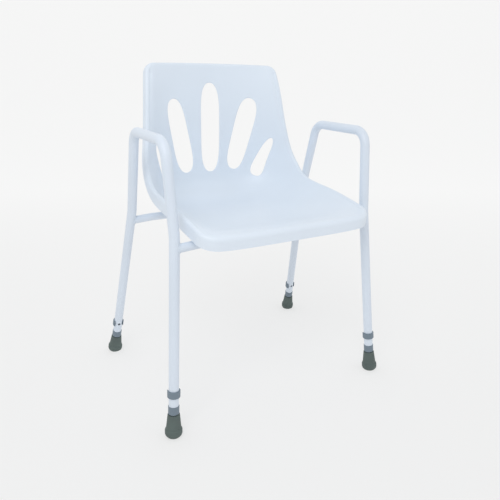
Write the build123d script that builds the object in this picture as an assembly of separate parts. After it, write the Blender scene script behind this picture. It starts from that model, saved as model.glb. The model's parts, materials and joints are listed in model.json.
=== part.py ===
from build123d import *
import math
import os

# Shower chair with a moulded bucket seat, a bent-tube frame and four height-adjustable legs.
# Millimetres. +Z is up, -Y is the front, X = 0 is the plane of symmetry, Z = 0 is the floor.

SIDES = [("left", -1), ("right", 1)]

# --- Frame tube centre line, right-hand side (the left side is its mirror image) ---
FOOT_FRONT = (282.2, -204.1, 0.0)
KINK_FRONT = (246.5, -174.3, 440.0)
ARM_FRONT = (250.0, -156.1, 628.0)
ARM_REAR = (252.0, 40.7, 634.0)
KINK_REAR = (253.6, 104.3, 438.4)
FOOT_REAR = (301.0, 236.1, 0.0)
TUBE_R = 11.1
TUBE_WALL = 1.2
TUBE_INSIDE_R = TUBE_R - TUBE_WALL
ARM_BEND = 38.0
KINK_BEND = 140.0

# --- Cross rails, welded between the side frames just below the kinks ---
RAIL_R = 9.5
RAIL_WALL = 1.2
RAIL_FRONT_Z = 416.5
RAIL_REAR_Z = 411.0
RAIL_RISE = 3.4
RAIL_CRANK = 52.0
RAIL_BEND = 60.0

# --- Leg fittings, as distances from the floor along each leg ---
FERRULE_START = -5.0
EXT_BOTTOM = 9.0
FERRULE_TOP = 52.0
BUSH_BOTTOM = 54.0
TUBE_END = 56.0
BUSH_TOP = 72.5
BUSH_SLEEVE_TOP = 86.0
CLIP_CENTRE = 101.0
CLIP_HEIGHT = 16.0
EXT_TOP = 234.0
HOLE_PITCH = 25.0
HOLE_COUNT = 5
HOLE_R = 3.75

# --- Inner extension tube and what rides on it ---
EXT_R = 9.0
EXT_WALL = 1.2
EXT_INSIDE_R = EXT_R - EXT_WALL
GUIDE_HEAD = 8.0
GUIDE_SPIGOT = 22.0
FIT = 0.05
FERRULE_R = 19.2
FERRULE_NECK_R = 13.5
WASHER_T = 2.0
WASHER_R = EXT_R - 0.02
BUSH_R = 12.2
CLIP_R = 14.2
CLIP_EDGE = 1.2
PEG_R = 3.5
PEG_GAP = 0.4

# --- Seat shell: rim crest and centre line at stations from the top of the back to the front lip ---
# (rim half width, rim y, rim z, centre y, centre z, steepness of the side wall)
STATIONS = [
    (176.3, 144.4, 780.1, 183.2, 782.1, 2.0),
    (182.7, 132.2, 741.5, 182.2, 735.0, 2.1),
    (188.7, 122.1, 695.8, 181.7, 684.0, 2.2),
    (194.6, 113.5, 646.1, 182.7, 634.0, 2.5),
    (202.1, 102.2, 595.7, 185.2, 580.0, 3.0),
    (209.0, 88.4, 559.4, 188.2, 530.0, 3.4),
    (213.4, 66.5, 534.0, 184.2, 482.0, 3.6),
    (214.5, 43.2, 513.7, 158.2, 447.0, 3.8),
    (214.1, 12.8, 500.9, 114.2, 431.5, 4.0),
    (213.7, -32.6, 493.6, 46.2, 429.5, 4.2),
    (213.0, -89.7, 487.1, -43.8, 432.0, 4.4),
    (211.4, -148.4, 476.8, -133.8, 435.0, 4.6),
    (209.2, -197.1, 465.5, -192.1, 444.5, 5.0),
    (206.6, -234.1, 453.6, -237.1, 448.1, 5.0),
]
LAST = len(STATIONS) - 1
SHELL_T = 4.0

# Edges of the shell: a roll, then a flange; both change from the sides to the top and the front
ROLL_SIDE = 6.5
ROLL_TOP = 5.5
ROLL_FRONT = 12.0
ROLL_START_SIDE = 150.0
ROLL_START_END = 90.0
FLANGE_TOP = 5.0
FLANGE_BACK = 10.0
FLANGE_SEAT = 22.0
FLANGE_FRONT = 16.6
FLANGE_DRAFT = 1.2
BACK_END_STATION = 4.0
SEAT_START_STATION = 9.0
CORNER_TOP = 18.0
CORNER_FRONT = 30.0

# Facets: steps across a corner block, over the roll and down the flange, then over the middle
CORNER_STEPS = 3
ROLL_STEPS = 3
FLANGE_STEPS = 2
MIDDLE_ACROSS = 12
MIDDLE_ALONG = 20

# --- Slots in the back: (top x, top z, bottom x, bottom z, half width, widening to the top) ---
SLOTS = [
    (0.0, 740.0, 0.0, 504.5, 27.0, 0.0),
    (112.3, 700.2, 68.5, 507.0, 25.8, 0.0),
    (167.5, 592.0, 128.0, 486.5, 13.4, -0.3),
]
SLOT_END_POWER = 4.5
SLOT_SIDE_POWER = 2.2
SLOT_POINTS = 24
SLOT_REAR_Y = 260.0
SLOT_REACH = 180.0

# --- Seat fixings: bosses under the pan, pads on the rails, straps below them and their screws ---
FIX_X = 95.0
BOSS_R = 6.0
BOSS_SPREAD = 17.0
BOSS_FOOT = 2.0
PILOT_R = 1.7
SCREW_GRIP = 9.0
PAD_LOW = 3.0
PAD_X = 34.0
PAD_Y = 20.0
STRAP_X = 18.0
STRAP_T = 3.0
STRAP_HOLE_R = 2.0
SCREW_R = 1.7
SCREW_LENGTH = 11.0
SCREW_HEAD_R = 4.2
SCREW_HEAD_H = 2.6
SCREW_HEAD_ROUND = 1.2
CROSS_LENGTH = 4.5
CROSS_WIDTH = 1.0
CROSS_DEPTH = 1.3

# Blanks taller than anything they are cut back to
BLANK = 50.0


def save(shape, node):
    shape.label = node
    export_step(shape, f"parts/{node}.step")


# ---------------------------------------------------------------- seat shell

def station(t):
    """Catmull-Rom interpolation of the shell stations at parameter t."""
    i = min(max(int(math.floor(t)), 0), LAST - 1)
    f = t - i
    values = []
    for n, (b, c) in enumerate(zip(STATIONS[i], STATIONS[i + 1])):
        a = STATIONS[i - 1][n] if i > 0 else 2 * b - c
        d = STATIONS[i + 2][n] if i + 2 <= LAST else 2 * c - b
        values.append(0.5 * (2 * b + (c - a) * f + (2 * a - 5 * b + 4 * c - d) * f ** 2
                             + (3 * b - a - 3 * c + d) * f ** 3))
    return values


def bucket_line(x, t):
    """Y and Z of the bucket's upper surface at width x and station t."""
    half_width, rim_y, rim_z, centre_y, centre_z, steepness = station(t)
    share = min(abs(x) / half_width, 1.0) ** steepness
    return centre_y + (rim_y - centre_y) * share, centre_z + (rim_z - centre_z) * share


def bucket(x, t):
    """Point of the upper surface with its unit run and drop directions, all as (Y, Z)."""
    step = 0.02
    before = bucket_line(x, t - step)
    after = bucket_line(x, t + step)
    length = math.dist(before, after)
    run = ((after[0] - before[0]) / length, (after[1] - before[1]) / length)
    drop = (-run[1], run[0])
    return bucket_line(x, t), run, drop


def blend(low, high, share):
    return low + (high - low) * min(max(share, 0.0), 1.0)


def rim_step(step, radius, start):
    """Outward step, downward step and share of the flange depth at one step of the rim."""
    angle = start * (1.0 - min(step, ROLL_STEPS) / ROLL_STEPS)
    share = max(step - ROLL_STEPS, 0) / FLANGE_STEPS
    out = radius * (math.cos(angle) - math.cos(start)) + FLANGE_DRAFT * share
    return out, radius * (math.sin(start) - math.sin(angle)), share


def end_rate(t0, t1):
    """Length of rim per unit of station parameter between two stations."""
    return math.dist(STATIONS[t0][1:3], STATIONS[t1][1:3])


# At each end: rim length per station, inner edge of the corner blocks, and the end's edge sizes
TOP_RATE = end_rate(0, 1)
FRONT_RATE = end_rate(LAST - 1, LAST)
T_TOP = CORNER_TOP / TOP_RATE
T_FRONT = LAST - CORNER_FRONT / FRONT_RATE
ENDS = {
    -1: (TOP_RATE, T_TOP, CORNER_TOP, ROLL_TOP, FLANGE_TOP),
    1: (FRONT_RATE, T_FRONT, CORNER_FRONT, ROLL_FRONT, FLANGE_FRONT),
}


def side_flange(t):
    """Flange depth on the sides at station t."""
    share = (t - BACK_END_STATION) / (SEAT_START_STATION - BACK_END_STATION)
    return blend(FLANGE_BACK, FLANGE_SEAT, share)


def shell_point(along, across):
    """One point of the shell's upper surface.

    Each argument is (edge step, position, sign): edge steps count outwards from the inner edge
    of the corner blocks and are 0 in the middle, where the position applies.
    """
    a_step, position, end = along
    c_step, share, side = across
    rate, t_edge, end_corner, end_roll, end_flange = ENDS[end]
    steps = max(a_step, c_step)
    phi = math.radians(45.0) * min(a_step, c_step) / max(steps, 1)
    along_part = math.cos(phi) if a_step > c_step else math.sin(phi)
    across_part = math.sin(phi) if a_step > c_step else math.cos(phi)
    turn = math.atan2(along_part, across_part) / (math.pi / 2)
    radius = blend(ROLL_SIDE, end_roll, turn)
    start = math.radians(blend(ROLL_START_SIDE, ROLL_START_END, turn))
    corner = end_corner
    if not a_step:
        corner = blend(CORNER_TOP, CORNER_FRONT, (position - 1.0) / (LAST - 2))
    inner = min(steps / CORNER_STEPS, 1.0)
    r = (corner + radius * math.cos(start)) * inner
    t = t_edge + end * r * along_part / rate if a_step else position
    width = station(t)[0] - corner
    x = side * (width + r * across_part) if c_step else share * width
    (y, z), run, drop = bucket(x, t)
    out, down, depth_share = rim_step(max(steps - CORNER_STEPS, 0), radius, start)
    depth = depth_share * blend(side_flange(t), end_flange, turn)
    fall = down + depth + radius * (1.0 - math.sin(start)) * inner ** 2
    forward = end * along_part * out
    sideways = side * across_part * out
    return Vector(x + sideways, y + run[0] * forward + drop[0] * fall,
                  z + run[1] * forward + drop[1] * fall)


def grid_lines(low, high, middle):
    """Grid lines from one rolled edge to the other, as (edge step, position, sign)."""
    steps = CORNER_STEPS + ROLL_STEPS + FLANGE_STEPS
    lines = [(s, 0.0, -1) for s in range(steps, 0, -1)]
    for m in range(middle + 1):
        lines.append((0, low + (high - low) * m / middle, -1 if m < middle / 2 else 1))
    return lines + [(s, 0.0, 1) for s in range(1, steps + 1)]


def shell_grid():
    along = grid_lines(T_TOP, T_FRONT, MIDDLE_ALONG)
    across = grid_lines(-1.0, 1.0, MIDDLE_ACROSS)
    return [[shell_point(a, c) for c in across] for a in along]


def offset_grid(grid, distance):
    """The same grid moved along its surface normals."""
    rows = len(grid)
    cols = len(grid[0])
    moved = []
    for i in range(rows):
        row = []
        for j in range(cols):
            da = grid[min(i + 1, rows - 1)][j] - grid[max(i - 1, 0)][j]
            dc = grid[i][min(j + 1, cols - 1)] - grid[i][max(j - 1, 0)]
            row.append(grid[i][j] + da.cross(dc).normalized() * distance)
        moved.append(row)
    return moved


def triangles(a, b, c, d):
    """A four-cornered patch as two flat triangles, cut alike on both sides of the chair."""
    if a.X + b.X + c.X + d.X > 0:
        a, b, c, d = b, c, d, a
    return [Face(Wire.make_polygon([a, b, c])), Face(Wire.make_polygon([a, c, d]))]


def shell_skin():
    """Closed wall of flat facets between the upper surface and its offset."""
    top = shell_grid()
    under = offset_grid(top, -SHELL_T)
    rows = len(top)
    cols = len(top[0])
    faces = []
    for i in range(rows - 1):
        for j in range(cols - 1):
            for g in (top, under):
                faces += triangles(g[i][j], g[i][j + 1], g[i + 1][j + 1], g[i + 1][j])
    for i in range(rows - 1):
        for j in (0, cols - 1):
            faces += triangles(top[i][j], top[i + 1][j], under[i + 1][j], under[i][j])
    for j in range(cols - 1):
        for i in (0, rows - 1):
            faces += triangles(top[i][j], top[i][j + 1], under[i][j + 1], under[i][j])
    return Solid(Shell(faces))


def slot_cutter(top_x, top_z, low_x, low_z, half_width, widening):
    """Long oval slot that runs front to back, about an axis from its top to its bottom."""
    middle = ((top_x + low_x) / 2, (top_z + low_z) / 2)
    axis = ((top_x - low_x) / 2, (top_z - low_z) / 2)
    slimness = half_width / math.hypot(*axis)
    outline = []
    for n in range(SLOT_POINTS):
        c = math.cos(2 * math.pi * n / SLOT_POINTS)
        s = math.sin(2 * math.pi * n / SLOT_POINTS)
        u = math.copysign(abs(c) ** (2 / SLOT_END_POWER), c)
        w = math.copysign(abs(s) ** (2 / SLOT_SIDE_POWER), s) * slimness * (1 + widening * u)
        outline.append((middle[0] + axis[0] * u + axis[1] * w,
                        middle[1] + axis[1] * u - axis[0] * w))
    plane = Plane(origin=(0, SLOT_REAR_Y, 0), x_dir=(1, 0, 0), z_dir=(0, -1, 0))
    return extrude(plane * make_face(Polyline(*outline, close=True)), amount=SLOT_REACH)


def build_shell():
    shell = shell_skin()
    for slot in SLOTS:
        cutter = slot_cutter(*slot)
        shell -= cutter
        if slot[0]:
            shell -= mirror(cutter, about=Plane.YZ)
    return shell


# ---------------------------------------------------------------- frame

def leg_point(foot, kink, z):
    """Point of a lower leg's centre line at height z."""
    f = z / kink[2]
    return tuple(a + (b - a) * f for a, b in zip(foot, kink))


def along_leg(foot, kink, distance):
    """Point of a lower leg's centre line at a distance from the floor along it."""
    return leg_point(foot, kink, kink[2] * distance / math.dist(foot, kink))


def leg_plane(foot, kink, sign, pull_y):
    """Plane at the foot with Z up the leg and X in the direction that the clip pulls off."""
    base = Vector(sign * foot[0], foot[1], foot[2])
    top = Vector(sign * kink[0], kink[1], kink[2])
    up = (top - base).normalized()
    pull = Vector(0, pull_y, 0)
    pull = (pull - up * pull.dot(up)).normalized()
    return Plane(origin=base, x_dir=pull, z_dir=up)


def leg_planes():
    """Name, side and plane of each of the four legs."""
    for end, foot, kink, pull_y in (("front", FOOT_FRONT, KINK_FRONT, -1),
                                    ("rear", FOOT_REAR, KINK_REAR, 1)):
        for side, sign in SIDES:
            yield f"{end}_{side}", side, leg_plane(foot, kink, sign, pull_y)


def side_path(sign):
    """Centre line of one side frame, from the front leg's end over the arm to the rear leg's end."""
    front_end = along_leg(FOOT_FRONT, KINK_FRONT, TUBE_END)
    rear_end = along_leg(FOOT_REAR, KINK_REAR, TUBE_END)
    points = [front_end, KINK_FRONT, ARM_FRONT, ARM_REAR, KINK_REAR, rear_end]
    points = [(sign * x, y, z) for x, y, z in points]
    return FilletPolyline(*points, radius=[KINK_BEND, ARM_BEND, ARM_BEND, KINK_BEND])


def swept_tube(path, radius):
    start = Plane(origin=path @ 0, z_dir=path % 0)
    return sweep(start * Circle(radius), path=path)


def cross_hole(distance):
    """Clip hole right through a leg at a distance from the floor, in the leg's own plane."""
    length = 4 * TUBE_R
    return Plane(origin=(0, 0, distance), z_dir=(1, 0, 0)) * Cylinder(HOLE_R, length)


def build_side_frames():
    """Both side frames, hollow, with a clip hole through each leg. Returns their outer solids."""
    outlines = []
    for side, sign in SIDES:
        path = side_path(sign)
        outer = swept_tube(path, TUBE_R)
        tube = outer - swept_tube(path, TUBE_INSIDE_R)
        for _, leg_side, plane in leg_planes():
            if leg_side == side:
                tube -= plane * cross_hole(CLIP_CENTRE)
        save(tube, f"side_frame_{side}")
        outlines.append(outer)
    return outlines


def rail_ends():
    """Name and right-hand end point of each cross rail, on the centre line of the leg it meets."""
    yield "front", leg_point(FOOT_FRONT, KINK_FRONT, RAIL_FRONT_Z)
    yield "rear", leg_point(FOOT_REAR, KINK_REAR, RAIL_REAR_Z)


def build_rails(side_outlines):
    """Cross rails, cut to fit against the legs. Returns the outer solid of each by name."""
    outlines = {}
    for end, (x, y, z) in rail_ends():
        points = [(-x, y, z), (RAIL_CRANK - x, y, z + RAIL_RISE),
                  (x - RAIL_CRANK, y, z + RAIL_RISE), (x, y, z)]
        path = FilletPolyline(*points, radius=RAIL_BEND)
        outer = swept_tube(path, RAIL_R)
        rail = outer - swept_tube(path, RAIL_R - RAIL_WALL)
        for side_outline in side_outlines:
            rail -= side_outline
        rail = max(rail.solids(), key=lambda part: part.volume)
        save(rail, f"{end}_cross_rail")
        outlines[end] = outer
    return outlines


# ---------------------------------------------------------------- seat fixings

def fixing_points():
    """Name, rail name and rail centre of the four places where the seat is held to the rails."""
    for end, (_, y, z) in rail_ends():
        for side, sign in SIDES:
            yield f"{end}_{side}", end, Pos(sign * FIX_X, y, z + RAIL_RISE)


def lowest(shape):
    """The lowest of a shape's separate solids."""
    return min(shape.solids(), key=lambda part: part.center().Z)


def add_bosses(shell):
    """Screw bosses under the pan, in front of and behind each rail."""
    for _, _, place in fixing_points():
        for step in (-BOSS_SPREAD, BOSS_SPREAD):
            foot = place * Pos(0, step, -BOSS_FOOT)
            boss = lowest(foot * extrude(Circle(BOSS_R), amount=BLANK) - shell)
            boss -= foot * extrude(Circle(PILOT_R), amount=SCREW_GRIP)
            shell += boss
    return shell


def build_pads(shell, rail_outlines):
    """Pads between each rail and the seat pan, hollowed to sit on the rail."""
    for name, end, place in fixing_points():
        block = place * Pos(0, 0, PAD_LOW) * extrude(Rectangle(PAD_X, PAD_Y), amount=BLANK)
        save(lowest(block - rail_outlines[end] - shell), f"rail_pad_{name}")


def build_straps():
    """Straps that pass under each rail and screw into the bosses."""
    for name, _, place in fixing_points():
        section = Circle(RAIL_R + STRAP_T)
        section += Pos(0, -BOSS_FOOT - STRAP_T / 2) * Rectangle(2 * (BOSS_SPREAD + BOSS_R), STRAP_T)
        section -= Circle(RAIL_R)
        section -= Pos(0, BLANK / 2 - BOSS_FOOT) * Rectangle(BLANK, BLANK)
        across = Plane(origin=(-STRAP_X / 2, 0, 0), x_dir=(0, 1, 0), z_dir=(1, 0, 0))
        strap = extrude(across * section, amount=STRAP_X)
        for step in (-BOSS_SPREAD, BOSS_SPREAD):
            strap -= Pos(0, step, -BLANK / 2) * extrude(Circle(STRAP_HOLE_R), amount=BLANK)
        save(place * strap, f"rail_strap_{name}")


def screw():
    """Pan-head screw with a cross recess, its head's seat at Z = 0 and its shank upwards."""
    head = Pos(0, 0, -SCREW_HEAD_H) * extrude(Circle(SCREW_HEAD_R), amount=SCREW_HEAD_H)
    head = fillet(head.edges().group_by(Axis.Z)[0], SCREW_HEAD_ROUND)
    cross = Rectangle(CROSS_LENGTH, CROSS_WIDTH) + Rectangle(CROSS_WIDTH, CROSS_LENGTH)
    recess = Pos(0, 0, -SCREW_HEAD_H) * extrude(cross, amount=CROSS_DEPTH)
    return head + extrude(Circle(SCREW_R), amount=SCREW_LENGTH) - recess


def build_screws():
    """The screws of all four straps, as one group of separate solids."""
    screws = []
    for _, _, place in fixing_points():
        for step in (-BOSS_SPREAD, BOSS_SPREAD):
            screws.append(place * Pos(0, step, -BOSS_FOOT - STRAP_T) * screw())
    save(Compound(screws), "strap_screws")


# ---------------------------------------------------------------- leg fittings

def turned(*points):
    """Solid of revolution from a closed (radius, height) outline."""
    outline = make_face(Polyline(*points, close=True))
    return revolve(Plane.XZ * outline, axis=Axis.Z)


def ferrule():
    """Rubber foot with a wide tread, a step and a tapered neck, cut off later at the floor."""
    pocket = EXT_BOTTOM - WASHER_T
    return turned((EXT_R, pocket), (EXT_R, FERRULE_TOP),
                  (FERRULE_NECK_R - 0.8, FERRULE_TOP), (FERRULE_NECK_R, FERRULE_TOP - 0.8),
                  (FERRULE_R - 2.4, 19.0), (FERRULE_R - 0.6, 17.0), (FERRULE_R, 15.0),
                  (FERRULE_R, 7.0), (FERRULE_R - 1.0, 4.0), (FERRULE_R - 3.0, 1.2),
                  (FERRULE_R - 5.2, -1.0), (FERRULE_R - 8.0, -3.5),
                  (FERRULE_R - 10.5, FERRULE_START), (0.0, FERRULE_START), (0.0, pocket))


def washer():
    """Steel disc that carries the end of the extension inside the ferrule."""
    low = EXT_BOTTOM - WASHER_T
    return turned((0.0, low), (WASHER_R, low), (WASHER_R, EXT_BOTTOM), (0.0, EXT_BOTTOM))


def bush():
    """End bush: a collar over the frame tube's end and a sleeve inside it."""
    bore = EXT_R + FIT
    return turned((bore, BUSH_BOTTOM), (BUSH_R - 0.6, BUSH_BOTTOM), (BUSH_R, BUSH_BOTTOM + 0.6),
                  (BUSH_R, BUSH_TOP - 0.5), (BUSH_R - 0.5, BUSH_TOP), (TUBE_R, BUSH_TOP),
                  (TUBE_R, TUBE_END), (TUBE_INSIDE_R, TUBE_END), (TUBE_INSIDE_R, BUSH_SLEEVE_TOP),
                  (bore, BUSH_SLEEVE_TOP))


def extension():
    """Inner leg tube with its row of height holes."""
    tube = turned((EXT_INSIDE_R, EXT_BOTTOM), (EXT_R, EXT_BOTTOM),
                  (EXT_R, EXT_TOP), (EXT_INSIDE_R, EXT_TOP))
    for n in range(HOLE_COUNT):
        tube -= cross_hole(CLIP_CENTRE + n * HOLE_PITCH)
    return tube


def guide():
    """Plug in the top of the extension that slides inside the frame tube."""
    head = TUBE_INSIDE_R - FIT
    top = EXT_TOP + GUIDE_HEAD
    return turned((0.0, EXT_TOP - GUIDE_SPIGOT), (EXT_INSIDE_R, EXT_TOP - GUIDE_SPIGOT),
                  (EXT_INSIDE_R, EXT_TOP), (head, EXT_TOP), (head, top - 1.0),
                  (head - 1.0, top), (0.0, top))


def clip():
    """Height clip: a U round the frame tube with a peg on its closed side, which faces +X."""
    grip = TUBE_R + FIT
    ring = Pos(0, 0, -CLIP_HEIGHT / 2) * extrude(Circle(CLIP_R), amount=CLIP_HEIGHT)
    ring = fillet(ring.edges(), CLIP_EDGE)
    opening = Circle(grip) + Pos(-BLANK / 2, 0) * Rectangle(BLANK, 2 * grip)
    ring -= Pos(0, 0, -CLIP_HEIGHT) * extrude(opening, amount=2 * CLIP_HEIGHT)
    start = EXT_R + PEG_GAP
    end = (grip + CLIP_R) / 2
    peg = Plane(origin=(start, 0, 0), z_dir=(1, 0, 0)) * extrude(Circle(PEG_R), amount=end - start)
    return Pos(0, 0, CLIP_CENTRE) * (lowest(ring) + peg)


def build_legs():
    shapes = {
        "ferrule": ferrule(),
        "ferrule_washer": washer(),
        "leg_bush": bush(),
        "leg_extension": extension(),
        "extension_guide": guide(),
        "height_clip": clip(),
    }
    floor = Pos(0, 0, -BLANK) * Box(1000, 1000, 2 * BLANK)
    for name, _, plane in leg_planes():
        for part, shape in shapes.items():
            placed = plane * shape
            if part == "ferrule":
                placed -= floor
            save(placed, f"{part}_{name}")


def main():
    os.makedirs("parts", exist_ok=True)
    side_outlines = build_side_frames()
    rail_outlines = build_rails(side_outlines)
    build_legs()
    shell = build_shell()
    build_pads(shell, rail_outlines)
    save(add_bosses(shell), "seat_shell")
    build_straps()
    build_screws()


if __name__ == "__main__":
    main()
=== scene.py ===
import json
import math

import bmesh
import bpy
import numpy as np
from mathutils import Matrix, Vector


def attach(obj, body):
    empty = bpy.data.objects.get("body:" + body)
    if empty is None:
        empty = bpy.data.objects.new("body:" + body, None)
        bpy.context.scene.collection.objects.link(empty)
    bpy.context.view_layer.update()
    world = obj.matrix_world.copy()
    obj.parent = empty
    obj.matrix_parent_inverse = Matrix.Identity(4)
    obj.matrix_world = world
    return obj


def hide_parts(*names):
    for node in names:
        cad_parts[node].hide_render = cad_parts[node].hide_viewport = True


# Shower chair: moulded bucket seat, powder-coated tube frame, telescopic legs with clips and ferrules.
# Metres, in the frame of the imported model: +Z up, -Y the front, X = 0 the plane of symmetry.

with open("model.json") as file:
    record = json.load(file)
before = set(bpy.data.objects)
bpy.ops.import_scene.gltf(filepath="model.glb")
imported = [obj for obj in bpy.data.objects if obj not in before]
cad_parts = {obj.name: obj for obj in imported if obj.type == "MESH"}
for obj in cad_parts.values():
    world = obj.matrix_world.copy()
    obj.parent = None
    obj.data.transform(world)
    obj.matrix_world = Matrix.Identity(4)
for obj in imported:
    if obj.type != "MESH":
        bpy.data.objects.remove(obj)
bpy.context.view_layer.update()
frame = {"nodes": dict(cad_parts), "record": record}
nodes = frame["nodes"]
scene = bpy.context.scene
MM = 0.001

# --- Camera: azimuth from -Y and elevation in degrees, the rest in metres and mm of lens ---
CAMERA_AZIMUTH = -28.86
CAMERA_ELEVATION = 18.26
CAMERA_DISTANCE = 1.2
CAMERA_TARGET = (-0.0116, -0.0613, 0.3446)
CAMERA_LENS = 34.83
CAMERA_SENSOR = 36.0

# --- Light ---
SKY_LOW = 0.60
SKY_HIGH = 0.82
SKY_COLOUR = (0.97, 0.985, 1.0, 1.0)
KEY_PLACE = (-1.1, -1.3, 2.0)
KEY_AIM = (0.0, 0.1, 0.6)
KEY_SIZE = 1.2
KEY_POWER = 15.0
FILL_PLACE = (2.2, -1.8, 1.6)
FILL_AIM = (0.0, 0.0, 0.4)
FILL_SIZE = 2.0
FILL_POWER = 3.0
FLOOR_ALBEDO = 0.3
FLOOR_ROUGHNESS = 0.9
FLOOR_GLOW_COLOUR = (1.0, 1.0, 0.995, 1.0)
FLOOR_GLOW_FRONT = 0.56
FLOOR_GLOW_BACK = 0.68
GLOW_START = -1.0
GLOW_END = 2.4

# --- Stage: flat floor, then a curve up to a wall, at distances behind the middle of the chair ---
STAGE_REACH = 14.0
CURVE_START = 2.2
CURVE_R = 1.5
CURVE_STEPS = 24
WALL_TOP = 9.0

# --- Seat shell, mm: rim half width, rim y, rim z, centre y, centre z, steepness of the side wall ---
STATIONS = [
    (176.3, 144.4, 780.1, 183.2, 782.1, 2.0),
    (182.7, 132.2, 741.5, 182.2, 735.0, 2.1),
    (188.7, 122.1, 695.8, 181.7, 684.0, 2.2),
    (194.6, 113.5, 646.1, 182.7, 634.0, 2.5),
    (202.1, 102.2, 595.7, 185.2, 580.0, 3.0),
    (209.0, 88.4, 559.4, 188.2, 530.0, 3.4),
    (213.4, 66.5, 534.0, 184.2, 482.0, 3.6),
    (214.5, 43.2, 513.7, 158.2, 447.0, 3.8),
    (214.1, 12.8, 500.9, 114.2, 431.5, 4.0),
    (213.7, -32.6, 493.6, 46.2, 429.5, 4.2),
    (213.0, -89.7, 487.1, -43.8, 432.0, 4.4),
    (211.4, -148.4, 476.8, -133.8, 435.0, 4.6),
    (209.2, -197.1, 465.5, -192.1, 444.5, 5.0),
    (206.6, -234.1, 453.6, -237.1, 448.1, 5.0),
]
WALL = 4.0
ROLL_SIDE = 6.5
ROLL_TOP = 5.5
ROLL_FRONT = 12.0
ROLL_START_SIDE = 150.0
ROLL_START_END = 90.0
FLANGE_TOP = 5.0
FLANGE_BACK = 10.0
FLANGE_SEAT = 22.0
FLANGE_FRONT = 16.6
FLANGE_DRAFT = 1.2
BACK_END_STATION = 4.0
SEAT_START_STATION = 9.0
CORNER_TOP = 18.0
CORNER_FRONT = 30.0
CORNER_STEPS = 9
ROLL_STEPS = 12
FLANGE_SHARES = (0.0, 0.12, 0.3, 0.5, 0.7, 0.88, 1.0)
MIDDLE_ACROSS = 70
MIDDLE_ALONG = 130
STATION_STEP = 0.02
SIDE_STEP = 1.0
SHARP_ANGLE = 40.0

# Slots in the back, mm: top x and z, bottom x and z, half width, widening towards the top
SLOTS = [
    (0.0, 740.0, 0.0, 504.5, 27.0, 0.0),
    (112.3, 700.2, 68.5, 507.0, 25.8, 0.0),
    (167.5, 592.0, 128.0, 486.5, 13.4, -0.3),
]
SLOT_END_POWER = 4.5
SLOT_SIDE_POWER = 2.2
SLOT_POINTS = 120
CUTTER_FRONT_Y = 80.0
CUTTER_REAR_Y = 260.0
EDGE_RING = 16
EDGE_PROUD = 0.03

# Legs and cross rails of the right-hand side, mm: foot, kink and height of the rail's end
LEGS = [
    ((282.2, -204.1, 0.0), (246.5, -174.3, 440.0), 416.5),
    ((301.0, 236.1, 0.0), (253.6, 104.3, 438.4), 411.0),
]
TUBE_R = 11.1
RAIL_R = 9.5
RAIL_START = (-52.0, 0.0, 3.4)
BEAD_R = 1.5
BEAD_POINTS = 72
BEAD_RING = 12
BEAD_RIPPLE = 0.12

# Screw bosses under the pan, mm, in pairs in front of and behind each rail
FIX_X = 95.0
BOSS_R = 6.0
BOSS_SPREAD = 17.0
BOSS_FOOT = 2.0
PILOT_R = 1.7
SCREW_GRIP = 9.0
PILOT_CHAMFER = 0.3
BOSS_CHAMFER = 0.5
BOSS_RING = 32


# ---------------------------------------------------------------- mesh helpers

def new_object(name, verts, faces, smooth=True):
    mesh = bpy.data.meshes.new(name)
    mesh.from_pydata([tuple(v) for v in verts], [], faces)
    mesh.validate()
    if smooth:
        mesh.polygons.foreach_set("use_smooth", [True] * len(mesh.polygons))
    obj = bpy.data.objects.new(name, mesh)
    scene.collection.objects.link(obj)
    return obj


def apply_modifiers(obj):
    depsgraph = bpy.context.evaluated_depsgraph_get()
    mesh = bpy.data.meshes.new_from_object(obj.evaluated_get(depsgraph))
    obj.modifiers.clear()
    obj.data = mesh


def fix_normals(obj):
    bm = bmesh.new()
    bm.from_mesh(obj.data)
    bmesh.ops.recalc_face_normals(bm, faces=bm.faces)
    bm.to_mesh(obj.data)
    bm.free()


def ring_faces(rings, size, closed):
    """Quads between neighbouring rings of size points each, and from the last to the first."""
    faces = []
    for k in range(rings if closed else rings - 1):
        following = (k + 1) % rings
        for m in range(size):
            n = (m + 1) % size
            faces.append((k * size + m, k * size + n, following * size + n, following * size + m))
    return faces


def joined(name, pieces):
    """One object from several (verts, faces) pieces."""
    verts, faces = [], []
    for more_verts, more_faces in pieces:
        faces += [tuple(i + len(verts) for i in face) for face in more_faces]
        verts += more_verts
    obj = new_object(name, verts, faces)
    fix_normals(obj)
    return obj


def grid_faces(rows, cols, start=0, flip=False):
    faces = []
    for i in range(rows - 1):
        for j in range(cols - 1):
            a = start + i * cols + j
            quad = (a, a + 1, a + cols + 1, a + cols)
            faces.append(quad[::-1] if flip else quad)
    return faces


# ---------------------------------------------------------------- seat shell

def natural_spline(values):
    """Second derivatives of a natural cubic spline through evenly spaced rows of values."""
    n = len(values)
    matrix = np.zeros((n, n))
    right = np.zeros_like(values)
    matrix[0, 0] = matrix[-1, -1] = 1.0
    for i in range(1, n - 1):
        matrix[i, i - 1:i + 2] = (1.0, 4.0, 1.0)
        right[i] = 6.0 * (values[i + 1] - 2.0 * values[i] + values[i - 1])
    return np.linalg.solve(matrix, right)


STATION_VALUES = np.array(STATIONS)
STATION_BEND = natural_spline(STATION_VALUES)
LAST = len(STATIONS) - 1

# Ranges of stations that hold every point of the back and every point of the pan
BACK_RANGE = (0.0, 8.0)
PAN_RANGE = (5.0, LAST)
HALVINGS = 36


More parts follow.
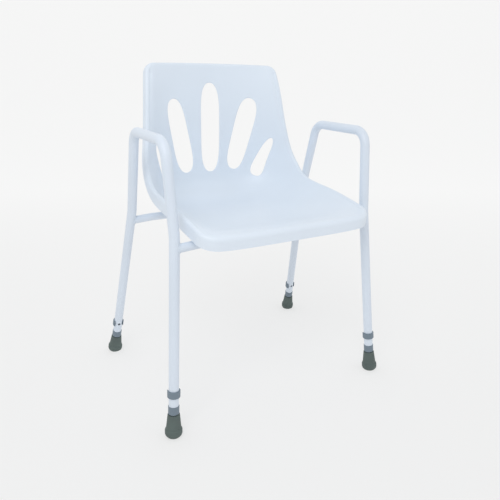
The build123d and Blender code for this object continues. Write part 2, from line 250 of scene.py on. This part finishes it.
def station(t):
    """Shell section at parameter t, extended in a straight line past both ends."""
    i = min(max(int(math.floor(t)), 0), LAST - 1)
    f = t - i
    low, high = STATION_VALUES[i], STATION_VALUES[i + 1]
    bend_low, bend_high = STATION_BEND[i], STATION_BEND[i + 1]
    if f < 0.0 or f > 1.0:
        edge = 0.0 if f < 0.0 else 1.0
        bend = (3 * edge ** 2 - 1) * bend_high - (3 * (1 - edge) ** 2 - 1) * bend_low
        slope = (high - low) + bend / 6.0
        base = low if f < 0.0 else high
        return base + slope * (f - edge)
    g = 1.0 - f
    return g * low + f * high + ((g ** 3 - g) * bend_low + (f ** 3 - f) * bend_high) / 6.0


def bucket(x, t):
    """Upper surface at width x and station t, with unit run and drop directions in Y and Z."""
    points = []
    for tt in (t - STATION_STEP, t, t + STATION_STEP):
        w, ry, rz, cy, cz, steep = station(tt)
        g = min(abs(x) / w, 1.0) ** steep
        points.append((cy + (ry - cy) * g, cz + (rz - cz) * g))
    run_y = points[2][0] - points[0][0]
    run_z = points[2][1] - points[0][1]
    length = math.hypot(run_y, run_z)
    run = (run_y / length, run_z / length)
    return points[1], run, (-run[1], run[0])


def station_at(x, axis, value, stations):
    """Station in a range where the surface at width x comes down to a value of Y (0) or Z (1)."""
    low, high = stations
    for _ in range(HALVINGS):
        t = (low + high) / 2
        if bucket(x, t)[0][axis] > value:
            low = t
        else:
            high = t
    return t


def blend(low, high, share):
    return low + (high - low) * min(max(share, 0.0), 1.0)


def rim_step(step, radius, start):
    """Outward step, downward step and share of the flange depth at one step of the rim."""
    angle = start * (1.0 - min(step, ROLL_STEPS) / ROLL_STEPS)
    share = FLANGE_SHARES[max(step - ROLL_STEPS, 0)]
    out = radius * (math.cos(angle) - math.cos(start)) + FLANGE_DRAFT * share
    return out, radius * (math.sin(start) - math.sin(angle)), share


def end_rate(t0, t1):
    return math.hypot(*(STATION_VALUES[t1] - STATION_VALUES[t0])[1:3])


TOP_RATE = end_rate(0, 1)
FRONT_RATE = end_rate(LAST - 1, LAST)
T_TOP = CORNER_TOP / TOP_RATE
T_FRONT = LAST - CORNER_FRONT / FRONT_RATE
ENDS = {
    -1: (TOP_RATE, T_TOP, CORNER_TOP, ROLL_TOP, FLANGE_TOP),
    1: (FRONT_RATE, T_FRONT, CORNER_FRONT, ROLL_FRONT, FLANGE_FRONT),
}


def shell_point(along, across):
    """One node of the upper surface. Each argument is (edge step, position, sign)."""
    a_step, position, end = along
    c_step, share, side = across
    rate, t_edge, end_corner, end_roll, end_flange = ENDS[end]
    steps = max(a_step, c_step)
    phi = math.radians(45.0) * min(a_step, c_step) / max(steps, 1)
    along_part = math.cos(phi) if a_step > c_step else math.sin(phi)
    across_part = math.sin(phi) if a_step > c_step else math.cos(phi)
    turn = math.atan2(along_part, across_part) / (math.pi / 2)
    radius = blend(ROLL_SIDE, end_roll, turn)
    start = math.radians(blend(ROLL_START_SIDE, ROLL_START_END, turn))
    corner = end_corner
    if not a_step:
        corner = blend(CORNER_TOP, CORNER_FRONT, (position - 1.0) / (LAST - 2))
    inner = min(steps / CORNER_STEPS, 1.0)
    r = (corner + radius * math.cos(start)) * inner
    t = t_edge + end * r * along_part / rate if a_step else position
    width = station(t)[0] - corner
    x = side * (width + r * across_part) if c_step else share * width
    (y, z), run, drop = bucket(x, t)
    out, down, depth_share = rim_step(max(steps - CORNER_STEPS, 0), radius, start)
    seat_share = (t - BACK_END_STATION) / (SEAT_START_STATION - BACK_END_STATION)
    side_depth = blend(FLANGE_BACK, FLANGE_SEAT, seat_share)
    depth = depth_share * blend(side_depth, end_flange, turn)
    fall = down + depth + radius * (1.0 - math.sin(start)) * inner ** 2
    forward = end * along_part * out
    return np.array((x + side * across_part * out, y + run[0] * forward + drop[0] * fall,
                     z + run[1] * forward + drop[1] * fall)) * MM


def axis_nodes(low, high, middle):
    """Grid lines from one rolled edge to the other, as (edge step, position, sign)."""
    steps = CORNER_STEPS + ROLL_STEPS + len(FLANGE_SHARES) - 1
    line = [(s, 0.0, -1) for s in range(steps, 0, -1)]
    for m in range(middle + 1):
        line.append((0, low + (high - low) * m / middle, -1 if m < middle / 2 else 1))
    return line + [(s, 0.0, 1) for s in range(1, steps + 1)]


def shell_mesh():
    """Upper surface and its inner face a wall's thickness below, closed round the edge."""
    along = axis_nodes(T_TOP, T_FRONT, MIDDLE_ALONG)
    across = axis_nodes(-1.0, 1.0, MIDDLE_ACROSS)
    rows, cols = len(along), len(across)
    top = np.array([[shell_point(a, c) for c in across] for a in along])
    da = np.gradient(top, axis=0)
    dc = np.gradient(top, axis=1)
    normal = np.cross(da, dc)
    normal /= np.linalg.norm(normal, axis=2)[..., None]
    # At a corner of the grid both tangents run along its edge, so the next point inwards gives its normal
    normal[::rows - 1, ::cols - 1] = normal[1::rows - 3, 1::cols - 3]
    under = top - normal * WALL * MM
    verts = np.concatenate([top.reshape(-1, 3), under.reshape(-1, 3)])
    faces = grid_faces(rows, cols) + grid_faces(rows, cols, rows * cols, flip=True)
    ring = [(0, j) for j in range(cols)] + [(i, cols - 1) for i in range(1, rows)]
    ring += [(rows - 1, j) for j in range(cols - 2, -1, -1)] + [(i, 0) for i in range(rows - 2, 0, -1)]
    ids = [i * cols + j for i, j in ring]
    for a, b in zip(ids, ids[1:] + ids[:1]):
        faces.append((b, a, a + rows * cols, b + rows * cols))
    return verts, faces


def slot_outline(top_x, top_z, low_x, low_z, half_width, widening, grow):
    """Points of a slot's oval outline in X and Z, pushed outwards by grow."""
    middle = np.array((top_x + low_x, top_z + low_z)) / 2
    axis = np.array((top_x - low_x, top_z - low_z)) / 2
    half_length = float(np.hypot(*axis))
    along = axis / half_length
    across = np.array((along[1], -along[0]))
    points = []
    for n in range(SLOT_POINTS):
        c = math.cos(2 * math.pi * n / SLOT_POINTS)
        s = math.sin(2 * math.pi * n / SLOT_POINTS)
        u = math.copysign(abs(c) ** (2 / SLOT_END_POWER), c)
        w = math.copysign(abs(s) ** (2 / SLOT_SIDE_POWER), s) * (1 + widening * u)
        points.append(middle + along * u * (half_length + grow) + across * w * (half_width + grow))
    return points


def slot_prism(outline):
    """Closed prism over a slot's outline, from in front of the back to behind it."""
    n = len(outline)
    ends = (CUTTER_FRONT_Y, CUTTER_REAR_Y)
    verts = [(x * MM, y * MM, z * MM) for y in ends for x, z in outline]
    faces = [tuple(range(n)), tuple(range(2 * n - 1, n - 1, -1))]
    faces += [(k, n + k, n + (k + 1) % n, (k + 1) % n) for k in range(n)]
    prism = new_object("cutter", verts, faces, smooth=False)
    fix_normals(prism)
    return prism


def back_point(x, z):
    """Point in the middle of the back's wall at x and height z, with the surface normal, mm."""
    t = station_at(x, 1, z, BACK_RANGE)
    (y, z), run, _ = bucket(x, t)
    (side_y, side_z), _, _ = bucket(x + SIDE_STEP, t)
    normal = np.cross((0.0, run[0], run[1]), (SIDE_STEP, side_y - y, side_z - z))
    normal /= np.linalg.norm(normal)
    if normal[1] > 0:
        normal = -normal
    return np.array((x, y, z)) - normal * WALL / 2, normal


def slot_edge(outline):
    """Rounded edge all round a slot, as thick as the wall, as verts and faces."""
    placed = [back_point(x, z) for x, z in outline]
    n = len(placed)
    radius = WALL / 2 + EDGE_PROUD
    verts = []
    for k, (centre, normal) in enumerate(placed):
        side = np.cross(placed[(k + 1) % n][0] - placed[k - 1][0], normal)
        side /= np.linalg.norm(side)
        for m in range(EDGE_RING):
            a = 2 * math.pi * m / EDGE_RING
            verts.append((centre + (normal * math.cos(a) + side * math.sin(a)) * radius) * MM)
    return verts, ring_faces(n, EDGE_RING, closed=True)


def mirrored_slots():
    """Outline of every slot, grown by the rounded edge that fills it again."""
    for top_x, top_z, low_x, low_z, half_width, widening in SLOTS:
        for side in ((1,) if top_x == 0.0 else (-1, 1)):
            yield slot_outline(side * top_x, top_z, side * low_x, low_z,
                               half_width, widening, WALL / 2)


def build_shell():
    verts, faces = shell_mesh()
    shell = new_object("seat_shell_surface", verts, faces)
    fix_normals(shell)
    for outline in mirrored_slots():
        prism = slot_prism(outline)
        cut = shell.modifiers.new("slot", "BOOLEAN")
        cut.operation = "DIFFERENCE"
        cut.solver = "EXACT"
        cut.object = prism
        apply_modifiers(shell)
        bpy.data.objects.remove(prism)
    shell.data.set_sharp_from_angle(angle=math.radians(SHARP_ANGLE))
    return shell


# ---------------------------------------------------------------- welds

def weld_bead(foot, kink, height, side):
    """Rippled bead of weld where a cross rail meets a leg, as verts and faces."""
    foot, kink = np.array(foot), np.array(kink)
    up = (kink - foot) / np.linalg.norm(kink - foot)
    end = foot + (kink - foot) * height / kink[2]
    inward = np.array(RAIL_START) / np.linalg.norm(RAIL_START)
    u = np.cross(inward, up)
    u /= np.linalg.norm(u)
    v = np.cross(inward, u)
    flat_inward = inward - up * (up @ inward)
    centres, outwards = [], []
    for k in range(BEAD_POINTS):
        a = 2 * math.pi * k / BEAD_POINTS
        outward = u * math.cos(a) + v * math.sin(a)
        flat = (outward - up * (up @ outward)) * RAIL_R
        b, c = flat @ flat_inward, flat @ flat - TUBE_R ** 2
        q = flat_inward @ flat_inward
        reach = (-b + math.sqrt(b * b - q * c)) / q
        centres.append(end + outward * RAIL_R + inward * reach)
        outwards.append(outward)
    verts = []
    for k, (centre, outward) in enumerate(zip(centres, outwards)):
        tangent = centres[(k + 1) % BEAD_POINTS] - centres[k - 1]
        other = np.cross(tangent, outward)
        other /= np.linalg.norm(other)
        radius = BEAD_R * (1.0 + BEAD_RIPPLE * math.sin(math.pi * k / 2))
        for m in range(BEAD_RING):
            a = 2 * math.pi * m / BEAD_RING
            x, y, z = centre + (outward * math.cos(a) + other * math.sin(a)) * radius
            verts.append((side * x * MM, y * MM, z * MM))
    return verts, ring_faces(BEAD_POINTS, BEAD_RING, closed=True)


# ---------------------------------------------------------------- screw bosses

def seat_boss(x, y, foot_z):
    """Screw boss from its foot up into the pan, hollow where the screw grips, as verts and faces."""
    t = station_at(x, 0, y, PAN_RANGE)
    top_z = bucket(x, t)[0][1] - WALL / 2
    profile = [(0.0, foot_z + SCREW_GRIP), (PILOT_R, foot_z + SCREW_GRIP),
               (PILOT_R, foot_z + PILOT_CHAMFER), (PILOT_R + PILOT_CHAMFER, foot_z),
               (BOSS_R - BOSS_CHAMFER, foot_z), (BOSS_R, foot_z + BOSS_CHAMFER), (BOSS_R, top_z)]
    verts = []
    for r, z in profile:
        for m in range(BOSS_RING):
            a = 2 * math.pi * m / BOSS_RING
            verts.append(((x + r * math.cos(a)) * MM, (y + r * math.sin(a)) * MM, z * MM))
    return verts, ring_faces(len(profile), BOSS_RING, closed=False)


def seat_bosses():
    """The eight bosses, a pair at each place where the seat is held to a rail."""
    for foot, kink, height in LEGS:
        rail_y = foot[1] + (kink[1] - foot[1]) * height / kink[2]
        for side in (-1, 1):
            for step in (-BOSS_SPREAD, BOSS_SPREAD):
                yield seat_boss(side * FIX_X, rail_y + step, height + RAIL_START[2] - BOSS_FOOT)


# ---------------------------------------------------------------- materials

def srgb(r, g, b):
    def channel(v):
        v /= 255.0
        return v / 12.92 if v <= 0.04045 else ((v + 0.055) / 1.055) ** 2.4
    return (channel(r), channel(g), channel(b), 1.0)


CLOUD_DETAIL = 4.0
CLOUD_RAMP = (0.3, 0.7)
GLOSS_SPREAD = 0.06
GRAIN_DETAIL = 3.0
GRAIN_STRENGTH = 0.5


def material(name, colour, roughness, grain, grain_depth, spread=0.03, metallic=0.0, patch=6.0):
    """Principled material with mottled colour, uneven gloss and a fine surface grain."""
    mat = bpy.data.materials.new(name)
    mat.use_nodes = True
    tree = mat.node_tree
    shader = tree.nodes["Principled BSDF"]
    shader.inputs["Metallic"].default_value = metallic
    coords = tree.nodes.new("ShaderNodeTexCoord")
    cloud = tree.nodes.new("ShaderNodeTexNoise")
    cloud.inputs["Scale"].default_value = patch
    cloud.inputs["Detail"].default_value = CLOUD_DETAIL
    tree.links.new(coords.outputs["Object"], cloud.inputs["Vector"])
    ramp = tree.nodes.new("ShaderNodeValToRGB")
    for element, position, factor in zip(ramp.color_ramp.elements, CLOUD_RAMP, (1 - spread, 1 + spread)):
        element.position = position
        element.color = tuple(min(c * factor, 1.0) for c in colour[:3]) + (1.0,)
    tree.links.new(cloud.outputs["Fac"], ramp.inputs["Fac"])
    tree.links.new(ramp.outputs["Color"], shader.inputs["Base Color"])
    gloss = tree.nodes.new("ShaderNodeMapRange")
    gloss.inputs["To Min"].default_value = roughness - GLOSS_SPREAD
    gloss.inputs["To Max"].default_value = roughness + GLOSS_SPREAD
    tree.links.new(cloud.outputs["Fac"], gloss.inputs["Value"])
    tree.links.new(gloss.outputs["Result"], shader.inputs["Roughness"])
    fine = tree.nodes.new("ShaderNodeTexNoise")
    fine.inputs["Scale"].default_value = grain
    fine.inputs["Detail"].default_value = GRAIN_DETAIL
    tree.links.new(coords.outputs["Object"], fine.inputs["Vector"])
    bump = tree.nodes.new("ShaderNodeBump")
    bump.inputs["Strength"].default_value = GRAIN_STRENGTH
    bump.inputs["Distance"].default_value = grain_depth
    tree.links.new(fine.outputs["Fac"], bump.inputs["Height"])
    tree.links.new(bump.outputs["Normal"], shader.inputs["Normal"])
    return mat


def paint(obj, mat):
    obj.data.materials.clear()
    obj.data.materials.append(mat)


SHELL_MAT = material("moulded_shell", srgb(224, 233, 243), 0.38, 900.0, 0.00006, 0.015)
PAINT_MAT = material("powder_coat", srgb(218, 227, 238), 0.34, 420.0, 0.00008, 0.02)
SLATE_MAT = material("slate_plastic", srgb(116, 130, 142), 0.48, 1400.0, 0.00008, 0.05)
RUBBER_MAT = material("ferrule_rubber", srgb(88, 100, 97), 0.72, 1600.0, 0.00012, 0.10, patch=30.0)
FIXING_MAT = material("pale_fixing_plastic", srgb(196, 202, 210), 0.5, 1200.0, 0.00006, 0.03)
GUIDE_MAT = material("dark_guide_plastic", srgb(74, 77, 80), 0.5, 1200.0, 0.00006, 0.05)
STEEL_MAT = material("screw_steel", srgb(196, 196, 192), 0.3, 2200.0, 0.00003, 0.06, metallic=1.0)

SLOT_MATERIALS = {
    "frame_paint": PAINT_MAT,
    "extension_paint": PAINT_MAT,
    "washer_steel": STEEL_MAT,
    "ferrule_rubber": RUBBER_MAT,
    "fitting_plastic": SLATE_MAT,
    "guide_plastic": GUIDE_MAT,
    "seat_fixing_plastic": FIXING_MAT,
    "screw_steel": STEEL_MAT,
    "shell_plastic": SHELL_MAT,
}


# ---------------------------------------------------------------- build

def dress_cad_nodes():
    for part in frame["record"]["subparts"]:
        obj = nodes[part["node"]]
        paint(obj, SLOT_MATERIALS[part["material_slot"]])


def build_stage():
    """Pale floor that curves up into a backdrop, square to the camera, with a faint glow of its own."""
    rows = []
    for k in range(CURVE_STEPS + 1):
        a = math.radians(90.0 * k / CURVE_STEPS)
        rows.append((CURVE_START + CURVE_R * math.sin(a), CURVE_R - CURVE_R * math.cos(a)))
    rows = [(-STAGE_REACH, 0.0)] + rows + [(CURVE_START + CURVE_R, WALL_TOP)]
    turn = Matrix.Rotation(math.radians(CAMERA_AZIMUTH), 3, "Z")
    verts = [turn @ Vector((x, y, z)) for y, z in rows for x in (-STAGE_REACH, STAGE_REACH)]
    floor = new_object("studio_floor", verts, grid_faces(len(rows), 2))
    mat = bpy.data.materials.new("studio_floor")
    mat.use_nodes = True
    tree = mat.node_tree
    shader = tree.nodes["Principled BSDF"]
    shader.inputs["Base Color"].default_value = (FLOOR_ALBEDO, FLOOR_ALBEDO, FLOOR_ALBEDO, 1.0)
    shader.inputs["Roughness"].default_value = FLOOR_ROUGHNESS
    shader.inputs["Specular IOR Level"].default_value = 0.0
    shader.inputs["Emission Color"].default_value = FLOOR_GLOW_COLOUR
    coords = tree.nodes.new("ShaderNodeTexCoord")
    depth = tree.nodes.new("ShaderNodeVectorMath")
    depth.operation = "DOT_PRODUCT"
    depth.inputs[1].default_value = turn @ Vector((0.0, 1.0, 0.0))
    tree.links.new(coords.outputs["Object"], depth.inputs[0])
    glow = tree.nodes.new("ShaderNodeMapRange")
    glow.inputs["From Min"].default_value = GLOW_START
    glow.inputs["From Max"].default_value = GLOW_END
    glow.inputs["To Min"].default_value = FLOOR_GLOW_FRONT
    glow.inputs["To Max"].default_value = FLOOR_GLOW_BACK
    tree.links.new(depth.outputs["Value"], glow.inputs["Value"])
    tree.links.new(glow.outputs["Result"], shader.inputs["Emission Strength"])
    paint(floor, mat)


def area_light(name, place, aim, size, power):
    data = bpy.data.lights.new(name, "AREA")
    data.size = size
    data.energy = power
    lamp = bpy.data.objects.new(name, data)
    lamp.location = place
    lamp.rotation_euler = (Vector(aim) - Vector(place)).to_track_quat("-Z", "Y").to_euler()
    scene.collection.objects.link(lamp)


def build_light():
    world = bpy.data.worlds.new("studio")
    world.use_nodes = True
    tree = world.node_tree
    background = tree.nodes["Background"]
    background.inputs["Color"].default_value = SKY_COLOUR
    coords = tree.nodes.new("ShaderNodeTexCoord")
    parts = tree.nodes.new("ShaderNodeSeparateXYZ")
    tree.links.new(coords.outputs["Generated"], parts.inputs["Vector"])
    sky = tree.nodes.new("ShaderNodeMapRange")
    sky.inputs["From Min"].default_value = 0.0
    sky.inputs["From Max"].default_value = 1.0
    sky.inputs["To Min"].default_value = SKY_LOW
    sky.inputs["To Max"].default_value = SKY_HIGH
    tree.links.new(parts.outputs["Z"], sky.inputs["Value"])
    tree.links.new(sky.outputs["Result"], background.inputs["Strength"])
    scene.world = world
    area_light("key", KEY_PLACE, KEY_AIM, KEY_SIZE, KEY_POWER)
    area_light("fill", FILL_PLACE, FILL_AIM, FILL_SIZE, FILL_POWER)


def build_camera():
    data = bpy.data.cameras.new("camera")
    data.lens = CAMERA_LENS
    data.sensor_width = CAMERA_SENSOR
    camera = bpy.data.objects.new("camera", data)
    a, e = math.radians(CAMERA_AZIMUTH), math.radians(CAMERA_ELEVATION)
    back = Vector((math.sin(a) * math.cos(e), -math.cos(a) * math.cos(e), math.sin(e)))
    camera.location = Vector(CAMERA_TARGET) + back * CAMERA_DISTANCE
    camera.rotation_euler = (math.pi / 2 - e, 0.0, a)
    scene.collection.objects.link(camera)
    scene.camera = camera


dress_cad_nodes()
shell = build_shell()
slot_edges = joined("slot_edges", [slot_edge(outline) for outline in mirrored_slots()])
welds = joined("rail_welds", [weld_bead(*leg, side) for leg in LEGS for side in (-1, 1)])
bosses = joined("seat_bosses", seat_bosses())
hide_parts("seat_shell")
for surface, slot_name in ((shell, "shell_plastic"), (slot_edges, "shell_plastic"),
                           (bosses, "shell_plastic"), (welds, "frame_paint")):
    paint(surface, SLOT_MATERIALS[slot_name])
    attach(surface, "frame")
build_stage()
build_light()
build_camera()
scene.view_settings.view_transform = "Standard"
